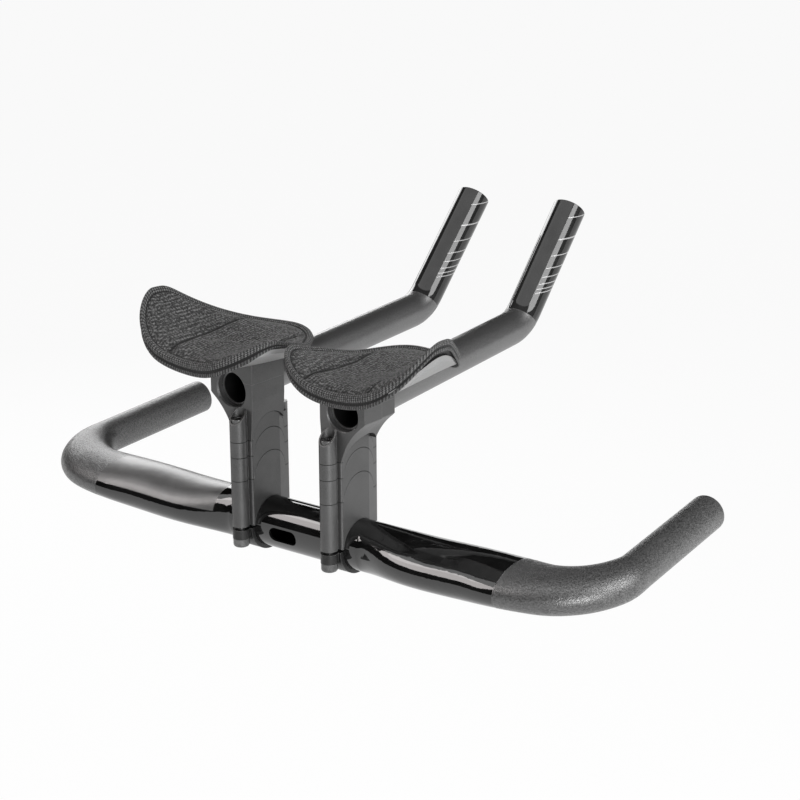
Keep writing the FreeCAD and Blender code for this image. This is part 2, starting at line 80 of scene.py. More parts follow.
def fill_inputs(tree, node, inputs):
    """Links the inputs that are sockets and sets the others."""
    for socket, value in inputs.items():
        if isinstance(value, bpy.types.NodeSocket):
            tree.links.new(value, node.inputs[socket])
        else:
            node.inputs[socket].default_value = value


def add_node(tree, kind, inputs=None, **settings):
    made = tree.nodes.new(kind)
    for key, value in settings.items():
        setattr(made, key, value)
    fill_inputs(tree, made, inputs or {})
    return made


def calc(tree, operation, first, second=0.0, clamp=False):
    made = add_node(tree, "ShaderNodeMath", {0: first, 1: second}, operation=operation, use_clamp=clamp)
    return made.outputs[0]


def vector_calc(tree, operation, first, second):
    made = add_node(tree, "ShaderNodeVectorMath", {0: first, 1: second}, operation=operation)
    return made.outputs[0]


def length_of(tree, vector):
    made = add_node(tree, "ShaderNodeVectorMath", {0: vector}, operation="LENGTH")
    return made.outputs["Value"]


def along(tree, place, direction):
    """Distance of a place along a direction."""
    made = add_node(tree, "ShaderNodeVectorMath", {0: place, 1: direction}, operation="DOT_PRODUCT")
    return made.outputs["Value"]


def split(tree, vector):
    """X, Y and Z of a vector."""
    return add_node(tree, "ShaderNodeSeparateXYZ", {0: vector}).outputs


def ramp(tree, value, low, high, bottom=0.0, top=1.0):
    """Smooth step from bottom to top while the value goes from low to high."""
    made = add_node(tree, "ShaderNodeMapRange", {
        "Value": value, "From Min": low, "From Max": high, "To Min": bottom, "To Max": top,
    }, interpolation_type="SMOOTHSTEP")
    return made.outputs[0]


def mixed(tree, share, first, second):
    """Colour between two others."""
    made = add_node(tree, "ShaderNodeMix", {0: share, 6: first, 7: second}, data_type="RGBA")
    return made.outputs[2]


def grey(level, warmth=0.0):
    return (level * (1 + warmth), level, level * (1 - warmth), 1.0)


def new_group(name, inputs, outputs):
    """Empty shader node group with float or vector sockets."""
    group = bpy.data.node_groups.new(name, "ShaderNodeTree")
    for socket, kind in inputs:
        group.interface.new_socket(name=socket, in_out="INPUT", socket_type=kind)
    for socket, kind in outputs:
        group.interface.new_socket(name=socket, in_out="OUTPUT", socket_type=kind)
    start = group.nodes.new("NodeGroupInput")
    end = group.nodes.new("NodeGroupOutput")
    return group, start.outputs, end.inputs


def place_group(tree, group, **inputs):
    made = tree.nodes.new("ShaderNodeGroup")
    made.node_tree = group
    fill_inputs(tree, made, inputs)
    return made.outputs


# Object helpers

def mesh_from(shape, name):
    """Mesh of a finished bmesh, which is freed."""
    mesh = bpy.data.meshes.new(name)
    shape.to_mesh(mesh)
    shape.free()
    return mesh


def link_object(name, data):
    made = bpy.data.objects.new(name, data)
    scene.collection.objects.link(made)
    return made


# Shared effects

def make_grain_group():
    """Fine grain and broad clouds, each from 0 to 1."""
    group, inputs, outputs = new_group(
        "surface_grain",
        [("Place", "NodeSocketVector"), ("Size", "NodeSocketFloat"), ("Spread", "NodeSocketFloat")],
        [("Grain", "NodeSocketFloat"), ("Cloud", "NodeSocketFloat")],
    )
    density = calc(group, "DIVIDE", 1.0, inputs["Size"])
    fine = add_node(group, "ShaderNodeTexNoise", {
        "Vector": inputs["Place"], "Scale": density, "Detail": 2.0, "Roughness": 0.6,
    })
    wide = calc(group, "DIVIDE", 1.0, inputs["Spread"])
    broad = add_node(group, "ShaderNodeTexNoise", {
        "Vector": inputs["Place"], "Scale": wide, "Detail": 3.0, "Roughness": 0.55,
    })
    group.links.new(ramp(group, fine.outputs[0], 0.3, 0.7), outputs["Grain"])
    group.links.new(ramp(group, broad.outputs[0], 0.3, 0.7), outputs["Cloud"])
    return group


def make_wear_group():
    """Mask of rubbed edges: 1 where the surface turns sharply, broken up by noise."""
    group, inputs, outputs = new_group(
        "edge_wear",
        [("Place", "NodeSocketVector"), ("Width", "NodeSocketFloat")],
        [("Wear", "NodeSocketFloat"), ("Soft Normal", "NodeSocketVector")],
    )
    rounded = add_node(group, "ShaderNodeBevel", {"Radius": inputs["Width"]}, samples=4)
    facing = add_node(group, "ShaderNodeNewGeometry")
    likeness = along(group, rounded.outputs[0], facing.outputs["Normal"])
    turn = ramp(group, likeness, 0.995, 0.86)
    noise = add_node(group, "ShaderNodeTexNoise", {"Vector": inputs["Place"], "Scale": 420.0, "Detail": 3.0})
    broken = ramp(group, noise.outputs[0], 0.38, 0.62, 0.35, 1.0)
    group.links.new(calc(group, "MULTIPLY", turn, broken), outputs["Wear"])
    group.links.new(rounded.outputs[0], outputs["Soft Normal"])
    return group


def make_dust_group():
    """Mask of fine dust that settles on faces that look up."""
    group, inputs, outputs = new_group(
        "settled_dust",
        [("Place", "NodeSocketVector"), ("Amount", "NodeSocketFloat")],
        [("Dust", "NodeSocketFloat")],
    )
    facing = add_node(group, "ShaderNodeNewGeometry")
    upward = ramp(group, along(group, facing.outputs["Normal"], (0.0, 0.0, 1.0)), 0.2, 1.0)
    specks = add_node(group, "ShaderNodeTexNoise", {"Vector": inputs["Place"], "Scale": 900.0, "Detail": 4.0})
    scatter = ramp(group, specks.outputs[0], 0.55, 0.78)
    veil = add_node(group, "ShaderNodeTexNoise", {"Vector": inputs["Place"], "Scale": 35.0, "Detail": 3.0})
    cloud = ramp(group, veil.outputs[0], 0.35, 0.75)
    dust = calc(group, "MULTIPLY", upward, calc(group, "MULTIPLY", scatter, cloud))
    group.links.new(calc(group, "MULTIPLY", dust, inputs["Amount"]), outputs["Dust"])
    return group


def make_split_group():
    """Mask of the thin gaps between the blocks of the riser stack, where shade is painted."""
    group, inputs, outputs = new_group(
        "riser_splits",
        [("Place", "NodeSocketVector"), ("Width", "NodeSocketFloat")],
        [("Gap", "NodeSocketFloat")],
    )
    parts = split(group, inputs["Place"])
    squared = calc(group, "MULTIPLY", parts["Y"], parts["Y"])
    inside = calc(group, "MAXIMUM", calc(group, "SUBTRACT", riser_saddle ** 2, squared), 0.0)
    hump = calc(group, "MAXIMUM", calc(group, "SQRT", inside), riser_foot)
    rise = calc(group, "SUBTRACT", parts["Z"], hump)
    nearest = 1.0
    for level in riser_levels:
        distance = calc(group, "ABSOLUTE", calc(group, "SUBTRACT", rise, level))
        nearest = calc(group, "MINIMUM", distance, nearest)
    share = calc(group, "DIVIDE", nearest, inputs["Width"])
    group.links.new(ramp(group, share, 1.0, 0.4), outputs["Gap"])
    return group


def make_knit_group():
    """Ribbed knit: loops across two directions, with uneven yarn."""
    group, inputs, outputs = new_group(
        "rib_knit",
        [("Place", "NodeSocketVector"), ("Rib", "NodeSocketFloat"), ("Course", "NodeSocketFloat"),
         ("Rows", "NodeSocketFloat")],
        [("Loop", "NodeSocketFloat"), ("Yarn", "NodeSocketFloat")],
    )
    sway = add_node(group, "ShaderNodeTexNoise", {"Vector": inputs["Place"], "Scale": 60.0, "Detail": 2.0})
    shift = calc(group, "MULTIPLY", calc(group, "SUBTRACT", sway.outputs[0], 0.5), 3.0)
    parts = split(group, inputs["Place"])
    turns = calc(group, "MULTIPLY", calc(group, "DIVIDE", parts["X"], inputs["Rib"]), 2 * math.pi)
    ribs = calc(group, "SINE", calc(group, "ADD", turns, shift))
    rows = calc(group, "MULTIPLY", calc(group, "DIVIDE", parts["Y"], inputs["Course"]), 2 * math.pi)
    lean = calc(group, "MULTIPLY", calc(group, "ABSOLUTE", ribs), 1.6)
    courses = calc(group, "SINE", calc(group, "ADD", rows, lean))
    rib_share = calc(group, "SUBTRACT", 0.5, inputs["Rows"])
    rib_part = calc(group, "MULTIPLY", ribs, rib_share)
    row_part = calc(group, "MULTIPLY", courses, inputs["Rows"])
    loop = calc(group, "ADD", rib_part, row_part)
    yarn = add_node(group, "ShaderNodeTexNoise", {"Vector": inputs["Place"], "Scale": 1100.0, "Detail": 2.0})
    group.links.new(calc(group, "ADD", loop, 0.5, clamp=True), outputs["Loop"])
    group.links.new(ramp(group, yarn.outputs[0], 0.34, 0.66), outputs["Yarn"])
    return group


grain_group = make_grain_group()
wear_group = make_wear_group()
dust_group = make_dust_group()
split_group = make_split_group()
knit_group = make_knit_group()


# Finishes

def bare_material(name):
    """Material with an empty node tree."""
    material = bpy.data.materials.new(name)
    material.use_nodes = True
    material.node_tree.nodes.clear()
    return material, material.node_tree


def new_finish(name):
    """Material with a Principled shader; gives its tree, the shader's inputs and the place on the part."""
    material, tree = bare_material(name)
    shader = add_node(tree, "ShaderNodeBsdfPrincipled")
    output = add_node(tree, "ShaderNodeOutputMaterial")
    tree.links.new(shader.outputs[0], output.inputs["Surface"])
    place = add_node(tree, "ShaderNodeTexCoord").outputs["Object"]
    return material, tree, shader.inputs, place


def bump(tree, height, strength, distance, normal=None):
    inputs = {"Height": height, "Strength": strength, "Distance": distance}
    if normal is not None:
        inputs["Normal"] = normal
    return add_node(tree, "ShaderNodeBump", inputs).outputs[0]


def make_lacquer():
    """Black lacquer on the bar, gritty paint round its bends and a satin field on the left wing."""
    material, tree, shader, place = new_finish("carbon_lacquer")
    parts = split(tree, place)
    outward = calc(tree, "ABSOLUTE", parts["X"])
    grit = ramp(tree, outward, grit_start - 0.3 * MM, grit_start + 0.3 * MM)
    inward = ramp(tree, parts["X"], field_inner + 0.5 * MM, field_inner - 0.5 * MM)
    level = calc(tree, "SUBTRACT", parts["Z"], calc(tree, "MULTIPLY", outward, field_climb))
    above = ramp(tree, level, field_low - 0.4 * MM, field_low + 0.4 * MM)
    field = calc(tree, "MULTIPLY", inward, above)
    grain = place_group(tree, grain_group, Place=place, Size=0.85 * MM, Spread=14 * MM)
    dust = place_group(tree, dust_group, Place=place, Amount=0.10)
    gloss_colour = mixed(tree, grain["Cloud"], grey(0.0045), grey(0.0075))
    gloss_colour = mixed(tree, dust["Dust"], gloss_colour, grey(0.22))
    field_colour = mixed(tree, grain["Cloud"], grey(0.075, 0.01), grey(0.105, 0.01))
    grit_dark = mixed(tree, grain["Cloud"], grey(0.008), grey(0.014))
    grit_colour = mixed(tree, grain["Grain"], grit_dark, grey(0.10))
    base = mixed(tree, field, gloss_colour, field_colour)
    tree.links.new(mixed(tree, grit, base, grit_colour), shader["Base Color"])
    gloss_rough = ramp(tree, grain["Cloud"], 0.0, 1.0, 0.035, 0.075)
    rough = calc(tree, "MAXIMUM", gloss_rough, calc(tree, "MULTIPLY", field, 0.34))
    gritty_rough = ramp(tree, grain["Grain"], 0.0, 1.0, 0.40, 0.24)
    rough = calc(tree, "MAXIMUM", rough, calc(tree, "MULTIPLY", grit, gritty_rough))
    tree.links.new(rough, shader["Roughness"])
    height = calc(tree, "MULTIPLY", grain["Grain"], grit)
    tree.links.new(bump(tree, height, 0.5, 0.18 * MM), shader["Normal"])
    shader["IOR"].default_value = 1.75
    return material


def painted_bore_shade(tree, place, radius):
    """Mask for painted shade: all that lies within a radius of either extension's axis, from the tube's rear
    end on.
    """
    parts = split(tree, place)
    folded = add_node(tree, "ShaderNodeCombineXYZ", {
        "X": calc(tree, "ABSOLUTE", parts["X"]), "Y": parts["Y"], "Z": parts["Z"],
    }).outputs[0]
    away = vector_calc(tree, "SUBTRACT", folded, bore_start)
    across = vector_calc(tree, "CROSS_PRODUCT", away, bore_axis)
    distance = length_of(tree, across)
    deep = ramp(tree, along(tree, away, bore_axis), bore_shade_from, bore_shade_full)
    return calc(tree, "MULTIPLY", deep, ramp(tree, distance, radius + 0.1 * MM, radius))


def make_anodised(name, dark, light):
    """Blasted and anodised aluminium of the riser stack and the clamp heads, with painted shade in the gaps
    between the riser blocks and inside the clamp bores.
    """
    material, tree, shader, place = new_finish(name)
    grain = place_group(tree, grain_group, Place=place, Size=0.5 * MM, Spread=11 * MM)
    wear = place_group(tree, wear_group, Place=place, Width=0.45 * MM)
    gaps = place_group(tree, split_group, Place=place, Width=0.34 * MM)
    dust = place_group(tree, dust_group, Place=place, Amount=0.12)
    body = mixed(tree, grain["Cloud"], grey(dark), grey((dark + light) / 2))
    body = mixed(tree, grain["Grain"], body, grey(light))
    worn = mixed(tree, calc(tree, "MULTIPLY", wear["Wear"], 0.55), body, grey(0.28))
    dusty = mixed(tree, dust["Dust"], worn, grey(0.3))
    # Painted shade: near-black and not metallic in the gaps between the riser blocks and inside the clamp
    # bores, where shade falls; the gaps also get a groove in the bump and more roughness.
    painted_shade = calc(tree, "MAXIMUM", gaps["Gap"], painted_bore_shade(tree, place, bore_radius))
    tree.links.new(mixed(tree, painted_shade, dusty, grey(0.004)), shader["Base Color"])
    rough = ramp(tree, grain["Grain"], 0.0, 1.0, 0.36, 0.48)
    tree.links.new(calc(tree, "ADD", rough, calc(tree, "MULTIPLY", gaps["Gap"], 0.3)), shader["Roughness"])
    tree.links.new(ramp(tree, painted_shade, 0.0, 1.0, 0.5, 0.0), shader["Metallic"])
    relief = calc(tree, "SUBTRACT", calc(tree, "MULTIPLY", grain["Grain"], 0.15), gaps["Gap"])
    tree.links.new(bump(tree, relief, 0.5, 0.2 * MM, wear["Soft Normal"]), shader["Normal"])
    return material


def make_extension_finish(side):
    """Satin tube with a glossy end that carries fine trim lines, closer together towards the bend, and
    painted shade inside the tube and the clamp bore.
    """
    material, tree, shader, place = new_finish(side + "_extension_finish")
    tip, axis = tube_end(side)
    from_tip = vector_calc(tree, "SUBTRACT", place, tip)
    depth = calc(tree, "MULTIPLY", along(tree, from_tip, axis), -1.0)
    gloss = ramp(tree, depth, gloss_length + 0.3 * MM, gloss_length - 0.3 * MM)
    drop = calc(tree, "DIVIDE", along(tree, from_tip, (0.0, 0.0, -1.0)), axis.z)
    scale = calc(tree, "DIVIDE", drop, trim_span)
    lines = add_node(tree, "ShaderNodeValToRGB", {0: scale})
    draw_trim_lines(lines.color_ramp)
    sideways = calc(tree, "DIVIDE", along(tree, from_tip, trim_side), extension_radius)
    level = calc(tree, "DIVIDE", calc(tree, "MULTIPLY", depth, axis.dot(trim_side)), extension_radius)
    facing = calc(tree, "ADD", sideways, level)
    window = ramp(tree, facing, 0.50, 0.56)
    trim = calc(tree, "MULTIPLY", lines.outputs[0], window)
    # Painted shade: near-black inside the tube's glossy end and inside the clamp bore, where shade falls.
    off_axis = length_of(tree, vector_calc(tree, "CROSS_PRODUCT", from_tip, axis))
    inside = calc(tree, "MULTIPLY", ramp(tree, off_axis, tube_bore + 0.3 * MM, tube_bore + 0.1 * MM), gloss)
    inside = calc(tree, "MAXIMUM", inside, painted_bore_shade(tree, place, tube_bore + 0.1 * MM))
    grain = place_group(tree, grain_group, Place=place, Size=0.5 * MM, Spread=16 * MM)
    dust = place_group(tree, dust_group, Place=place, Amount=0.08)
    satin = mixed(tree, grain["Grain"], grey(0.16), grey(0.23))
    black = mixed(tree, grain["Cloud"], grey(0.014), grey(0.022))
    black = mixed(tree, dust["Dust"], black, grey(0.25))
    base = mixed(tree, gloss, satin, black)
    base = mixed(tree, trim, base, grey(0.34))
    tree.links.new(mixed(tree, inside, base, grey(0.004)), shader["Base Color"])
    satin_rough = ramp(tree, grain["Grain"], 0.0, 1.0, 0.34, 0.44)
    gloss_rough = ramp(tree, grain["Cloud"], 0.0, 1.0, 0.05, 0.09)
    inverse = calc(tree, "SUBTRACT", 1.0, gloss)
    satin_part = calc(tree, "MULTIPLY", inverse, satin_rough)
    gloss_part = calc(tree, "MULTIPLY", gloss, gloss_rough)
    tree.links.new(calc(tree, "ADD", satin_part, gloss_part), shader["Roughness"])
    bare = calc(tree, "SUBTRACT", inverse, inside, clamp=True)
    tree.links.new(calc(tree, "MULTIPLY", bare, 0.85), shader["Metallic"])
    pores = calc(tree, "MULTIPLY", calc(tree, "MULTIPLY", grain["Grain"], inverse), 0.4)
    height = calc(tree, "ADD", pores, trim)
    tree.links.new(bump(tree, height, 0.25, 0.08 * MM), shader["Normal"])
    shader["IOR"].default_value = 1.5
    return material


def tube_end(side):
    """Tip of an extension and the direction it points in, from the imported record's mounts."""
    for mount in frame["record"]["mounts"]:
        if mount["name"] == side + "_shifter_bore":
            return Vector(mount["pos_m"]), Vector(mount["axis"]).normalized()
    raise ValueError("no shifter bore on the " + side)


def draw_trim_lines(colours):
    """Narrow white bands on a black colour ramp."""
    colours.interpolation = "CONSTANT"
    colours.elements[0].color = grey(0.0)
    colours.elements[1].position = 1.0
    colours.elements[1].color = grey(0.0)
    place = trim_start
    gap = trim_step
    for _ in range(trim_count):
        colours.elements.new((place - trim_half_width) / trim_span).color = grey(1.0)
        colours.elements.new((place + trim_half_width) / trim_span).color = grey(0.0)
        place = place + gap
        gap = gap * trim_ratio


def make_steel():
    """Blackened steel of the screws and nuts."""
    material, tree, shader, place = new_finish("dark_steel")
    grain = place_group(tree, grain_group, Place=place, Size=0.35 * MM, Spread=4 * MM)
    wear = place_group(tree, wear_group, Place=place, Width=0.3 * MM)
    body = mixed(tree, grain["Cloud"], grey(0.10), grey(0.16))
    worn = calc(tree, "MULTIPLY", wear["Wear"], 0.7)
    tree.links.new(mixed(tree, worn, body, grey(0.42)), shader["Base Color"])
    tree.links.new(ramp(tree, grain["Grain"], 0.0, 1.0, 0.28, 0.4), shader["Roughness"])
    tree.links.new(bump(tree, grain["Grain"], 0.15, 0.05 * MM, wear["Soft Normal"]), shader["Normal"])
    shader["Metallic"].default_value = 0.8
    return material


def make_tray_plastic():
    """Fine-textured grey plastic of the trays."""
    material, tree, shader, place = new_finish("cup_plastic")
    grain = place_group(tree, grain_group, Place=place, Size=0.6 * MM, Spread=18 * MM)
    wear = place_group(tree, wear_group, Place=place, Width=0.4 * MM)
    body = mixed(tree, grain["Cloud"], grey(0.17), grey(0.21))
    body = mixed(tree, grain["Grain"], body, grey(0.24))
    worn = calc(tree, "MULTIPLY", wear["Wear"], 0.5)
    tree.links.new(mixed(tree, worn, body, grey(0.38)), shader["Base Color"])
    tree.links.new(ramp(tree, grain["Grain"], 0.0, 1.0, 0.4, 0.55), shader["Roughness"])
    tree.links.new(bump(tree, grain["Grain"], 0.2, 0.1 * MM, wear["Soft Normal"]), shader["Normal"])
    return material


def make_hook_and_loop():
    """Napped discs between the tray and the pad."""
    material, tree, shader, place = new_finish("hook_and_loop")
    grain = place_group(tree, grain_group, Place=place, Size=0.7 * MM, Spread=5 * MM)
    pile = add_node(tree, "ShaderNodeTexVoronoi", {"Vector": place, "Scale": 800.0})
    tree.links.new(mixed(tree, grain["Grain"], grey(0.012), grey(0.05)), shader["Base Color"])
    tree.links.new(ramp(tree, grain["Cloud"], 0.0, 1.0, 0.8, 0.95), shader["Roughness"])
    tree.links.new(bump(tree, pile.outputs[0], 0.7, 0.4 * MM), shader["Normal"])
    return material


def sewn_lines(tree, place):
    """Mask of the sewn channels in the pads' tops, where shade is painted."""
    parts = split(tree, place)
    outward = calc(tree, "ABSOLUTE", parts["X"])
    lines = 0.0
    for x, start, end in channel_places:
        across = calc(tree, "ABSOLUTE", calc(tree, "SUBTRACT", outward, x))
        line = ramp(tree, across, 0.8 * channel_width, 0.2 * channel_width)
        line = calc(tree, "MULTIPLY", line, ramp(tree, parts["Y"], start, start + channel_fade))
        line = calc(tree, "MULTIPLY", line, ramp(tree, parts["Y"], end, end - channel_fade))
        lines = calc(tree, "MAXIMUM", line, lines)
    return lines


def make_knit():
    """Charcoal ribbed knit of the pads: loops on the top, rows on its steep parts, cross ribs on the rim,
    with painted shade in the seam, under the rim and in the sewn channels.
    """
    material, tree, shader, place = new_finish("pad_knit")
    flat = add_node(tree, "ShaderNodeTexCoord").outputs["UV"]
    ring = calc(tree, "MULTIPLY", split(tree, flat)["Y"], float(ring_count))
    rim = ramp(tree, ring, seam_ring - 0.2, seam_ring + 0.2)
    # Painted shade: the seam beside the rim, the recess under the rolled rim and the pressed channels are
    # darkened where shade falls.
    seam = ramp(tree, calc(tree, "ABSOLUTE", calc(tree, "SUBTRACT", ring, seam_ring)), 0.8, 0.1)
    recess = ramp(tree, calc(tree, "ABSOLUTE", calc(tree, "SUBTRACT", ring, recess_ring)), 1.6, 0.8)
    channels = calc(tree, "MULTIPLY", sewn_lines(tree, place), calc(tree, "SUBTRACT", 1.0, rim))
    painted_shade = calc(tree, "MAXIMUM", channels, calc(tree, "MAXIMUM", seam, recess))
    top = place_group(tree, knit_group, Place=place, Rib=1.9 * MM, Course=2.3 * MM, Rows=0.2)
    edge_place = vector_calc(tree, "MULTIPLY", flat, rim_lengths)
    edge = place_group(tree, knit_group, Place=edge_place, Rib=1.7 * MM, Course=1.1 * MM, Rows=0.24)
    grain = place_group(tree, grain_group, Place=place, Size=1.4 * MM, Spread=7 * MM)
    waver = calc(tree, "MULTIPLY", grain["Cloud"], row_waver)
    heights = calc(tree, "ADD", split(tree, place)["Z"], waver)
    terraces = calc(tree, "MULTIPLY", heights, 2 * math.pi / row_step)
    facing = add_node(tree, "ShaderNodeNewGeometry").outputs["Normal"]
    steep = ramp(tree, along(tree, facing, (0.0, 0.0, 1.0)), 0.98, 0.86)
    rows = calc(tree, "MULTIPLY", ramp(tree, calc(tree, "SINE", terraces), -0.2, 0.9), steep)
    loops = calc(tree, "MULTIPLY", top["Loop"], ramp(tree, steep, 0.0, 1.0, 1.0, 0.5))
    top_shade = calc(tree, "ADD", loops, calc(tree, "MULTIPLY", rows, 0.55))
    top_shade = calc(tree, "MULTIPLY", top_shade, ramp(tree, grain["Grain"], 0.15, 0.85, 0.05, 1.0))
    edge_shade = ramp(tree, edge["Loop"], 0.35, 0.85, 0.05, 1.5)
    edge_shade = calc(tree, "MULTIPLY", edge_shade, ramp(tree, grain["Grain"], 0.1, 0.9, 0.3, 1.0))
    both = add_node(tree, "ShaderNodeMix", {0: rim, 2: top_shade, 3: edge_shade}, data_type="FLOAT")
    shade = both.outputs[0]
    shade = calc(tree, "MULTIPLY", shade, ramp(tree, painted_shade, 0.0, 1.0, 1.0, 0.0))
    dark = mixed(tree, painted_shade, grey(0.010), grey(0.004))
    tree.links.new(mixed(tree, shade, dark, grey(0.18)), shader["Base Color"])
    tree.links.new(ramp(tree, shade, 0.0, 1.0, 0.95, 0.75), shader["Roughness"])
    height = calc(tree, "ADD", shade, calc(tree, "MULTIPLY", top["Yarn"], 0.35))
    tree.links.new(bump(tree, height, 0.85, 0.6 * MM), shader["Normal"])
    shader["Sheen Weight"].default_value = 0.08
    shader["Sheen Roughness"].default_value = 0.5
    return material


# The pads: a spun blank, drawn out over the CAD pad and puffed by a cloth simulation

blank_radius = 50.0 * MM
blank_rim = 12.0 * MM            # height of the blank's rim
blank_steps = 160
corner_ease = 9                  # steps over which the outline's corners are eased
rolled_width = 9.0 * MM          # rim zone that keeps its width all round
swell_cap = 1.2 * MM
# The blank's section from the middle of the top round the rim to the middle of the underside:
# radius, then height, in millimetres
top_rings = (
    (0, 0), (3, 0), (6, 0), (9, 0), (12, 0), (14.5, 0), (17, 0), (19.5, 0), (22, 0), (24.5, 0),
    (27, 0), (29.5, 0), (32, 0), (34, 0), (36, -0.1), (38.5, -0.45), (41, -1.1), (43, -2.0), (44.3, -3.0),
)
rim_rings = (
    (45.1, -4.0), (46.1, -2.95), (47.5, -2.4), (48.9, -2.85), (49.8, -4.05), (49.9, -5.5), (49.3, -6.7),
    (48.7, -7.4), (48.5, -8.3), (48.6, -9.2), (49.0, -9.8), (49.3, -10.5), (49.1, -11.4), (48.6, -11.9),
    (48.1, -11.4), (47.85, -9),
)
under_rings = ((47.6, -5.6), (44, -5.5), (38, -5.3), (30, -5.3), (20, -5.3), (10, -5.3), (0, -5.3))
section = top_rings + rim_rings + under_rings
ring_count = len(section) - 1
seam_ring = section.index((45.1, -4.0))
recess_ring = section.index((48.5, -8.3))
rim_taper = 0.6 * MM             # most that the rim's height changes from step to step
channel_places = ((31.1 * MM, -42 * MM, 34 * MM), (76.1 * MM, -41 * MM, 41 * MM))
channel_depth = 1.6 * MM
channel_width = 1.5 * MM
channel_fade = 6 * MM            # over which a channel runs out at its ends
channel_reach = 3 * MM           # how far below the CAD pad's top the pressing goes
top_facing = 0.3                 # least upward part of the normal where a channel is pressed in
row_step = 1.7 * MM              # rows of the knit on the steep parts of the top
row_waver = 0.7 * MM
rim_lengths = (0.32, 0.05, 0.0)  # metres round the rim and across the section, for the rim's ribs
rim_inset = 2.3 * MM             # outermost part of the blank, whose height is fitted to the pad's rim
rim_shoulder = 4 * MM            # top part of the rim, which keeps its height
slope_base = 5 * MM              # distance over which the pad's slope at its edge is taken
search_reach = 0.1               # the outline is searched for within this distance of the middle
search_halvings = 24
outline_inset = 0.05 * MM
air_pressure = 4.0
air_frames = 20
cloth_quality = 4


def spun_blank():
    """Puck with a rolled rim, its axis upright."""
    shape = bmesh.new()
    chain = [shape.verts.new((radius * MM, 0, height * MM)) for radius, height in section]
    edges = [shape.edges.new(pair) for pair in zip(chain, chain[1:])]
    bmesh.ops.spin(shape, geom=chain + edges, cent=(0, 0, 0), axis=(0, 0, 1),
                   angle=2 * math.pi, steps=blank_steps, use_merge=True, use_duplicate=False)
    bmesh.ops.remove_doubles(shape, verts=shape.verts, dist=0.01 * MM)
    bmesh.ops.recalc_face_normals(shape, faces=shape.faces)
    return shape


def ring_share(place):
    """Which ring of the section a vertex of the blank lies on, from 0 to 1."""
    radius = math.hypot(place.x, place.y) / MM
    height = place.z / MM
    gaps = [math.hypot(radius - ring[0], height - ring[1]) for ring in section]
    return gaps.index(min(gaps)) / ring_count


def write_blank_map(shape):
    """UV map: U runs once round the rim, V from the middle of the top to the middle of the underside."""
    layer = shape.loops.layers.uv.new("pad")
    shares = {vertex: ring_share(vertex.co) for vertex in shape.verts}
    for face in shape.faces:
        middle = face.calc_center_median()
        heading = math.atan2(middle.y, middle.x)
        for loop in face.loops:
            angle = math.atan2(loop.vert.co.y, loop.vert.co.x)
            if loop.vert.co.xy.length < MM:
                angle = heading
            if angle - heading > math.pi:
                angle = angle - 2 * math.pi
            if heading - angle > math.pi:
                angle = angle + 2 * math.pi
            loop[layer].uv = (angle / (2 * math.pi), shares[loop.vert])


class PadForm:
    """The CAD pad, asked for its outline, its top and the lower edge of its rim."""

    def __init__(self, node):
        mesh = node.data
        self.tree = BVHTree.FromPolygons([v.co for v in mesh.vertices], [p.vertices for p in mesh.polygons])
        low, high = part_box(node.name)
        self.middle = (Vector(low) + Vector(high)) / 2
        self.reaches = [self.outline(2 * math.pi * step / blank_steps) for step in range(blank_steps)]
        self.rims = [self.rim_height(step) for step in range(blank_steps)]
        self.edges = {}

    def top(self, x, y):
        hit = self.tree.ray_cast(Vector((x, y, 1.0)), Vector((0, 0, -1)))[0]
        return None if hit is None else hit.z

    def foot(self, x, y):
        return self.tree.ray_cast(Vector((x, y, -1.0)), Vector((0, 0, 1)))[0].z

    def at(self, heading, reach):
        return self.middle.x + reach * math.cos(heading), self.middle.y + reach * math.sin(heading)

    def outline(self, heading):
        """Reach of the CAD pad's outline at a heading."""
        low, high = 0.0, search_reach
        for _ in range(search_halvings):
            half = (low + high) / 2
            if self.top(*self.at(heading, half)) is None:
                high = half
            else:
                low = half
        return low - outline_inset

    def soft_reach(self, step):
        """Outline with its corners eased, as fabric goes round them."""
        total = 0.0
        weight = 0.0
        for offset in range(-corner_ease, corner_ease + 1):
            share = 1 - abs(offset) / (corner_ease + 1)
            total = total + share * self.reaches[(step + offset) % blank_steps]
            weight = weight + share
        return min(self.reaches[step], total / weight)

    def rim_height(self, step):
        x, y = self.at(2 * math.pi * step / blank_steps, self.reaches[step] - MM)
        return self.top(x, y) - self.foot(x, y)

    def tapered_rim(self, step):
        """Height of the rim, which narrows gently towards the place where the tray's lip comes through."""
        span = range(-corner_ease, corner_ease + 1)
        return min(self.rims[(step + offset) % blank_steps] + rim_taper * abs(offset) for offset in span)

    def edge(self, heading):
        """Reach of the eased outline at a heading, the slope there and the rim's height."""
        step = round(heading / (2 * math.pi) * blank_steps) % blank_steps
        if step not in self.edges:
            reach = self.soft_reach(step)
            outer = self.top(*self.at(heading, reach))
            inner = self.top(*self.at(heading, reach - slope_base))
            slope = (outer - inner) / slope_base
            self.edges[step] = (reach, slope, self.tapered_rim(step))
        return self.edges[step]

    def drape(self, place):
        """Where a point of the blank comes to lie on the pad."""
        heading = math.atan2(place.y, place.x)
        radius = math.hypot(place.x, place.y)
        reach, slope, rim = self.edge(heading)
        lean = math.sqrt(1 + slope * slope)
        inset = blank_radius - radius
        if inset <= rolled_width:
            distance = reach - inset / lean
        else:
            distance = (reach - rolled_width / lean) * radius / (blank_radius - rolled_width)
        x, y = self.at(heading, distance)
        height = self.top(x, y)
        if inset < rim_inset and place.z < -rim_shoulder:
            room = (rim - rim_shoulder) / (blank_rim - rim_shoulder)
            return Vector((x, y, height - rim_shoulder + (place.z + rim_shoulder) * room))
        return Vector((x, y, height + place.z))


